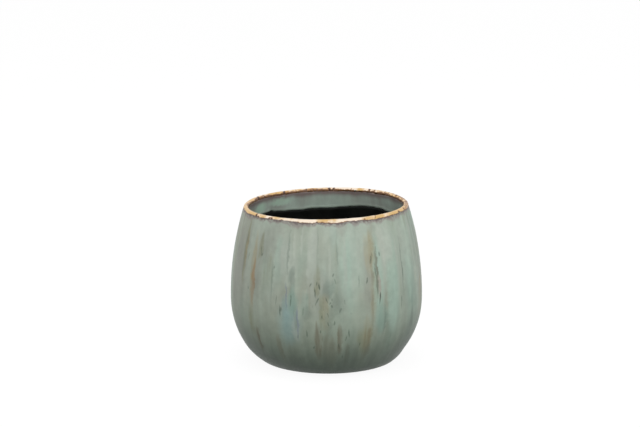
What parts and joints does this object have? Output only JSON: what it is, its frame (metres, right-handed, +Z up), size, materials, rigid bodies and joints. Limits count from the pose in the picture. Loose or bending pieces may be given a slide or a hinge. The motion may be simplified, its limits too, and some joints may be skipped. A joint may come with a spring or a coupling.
{
  "type": "cachepot",
  "caption": "Round bellied glazed stoneware cachepot: narrower open mouth with a rounded gilt lip, glazed collar inside, dark lining, bare foot ring on four felt pads, no drain hole.",
  "frame": {"origin": "on the pot's upright axis, at the underside of the four felt pads it stands on", "axes": "+Z up along the axis, out of the mouth; -Y is the side the picture looks at; +X is to the right in the picture, the side where the lip stands highest"},
  "size_m": [0.2, 0.2, 0.1677],
  "materials": {
    "stoneware": "bare fired clay, matt",
    "celadon": "satin celadon reactive glaze with runs",
    "gold": "gold lustre on glaze, worn",
    "celadon_inside": "satin celadon glaze",
    "lining": "dark sealing coat",
    "felt": "grey felt"
  },
  "bodies": {
    "root": {"stoneware_body": "stoneware", "celadon_glaze": "celadon", "gold_lip_band": "gold", "celadon_collar": "celadon_inside", "black_lining": "lining", "felt_pad_1": "felt", "felt_pad_2": "felt", "felt_pad_3": "felt", "felt_pad_4": "felt"}
  },
  "joints": []
}
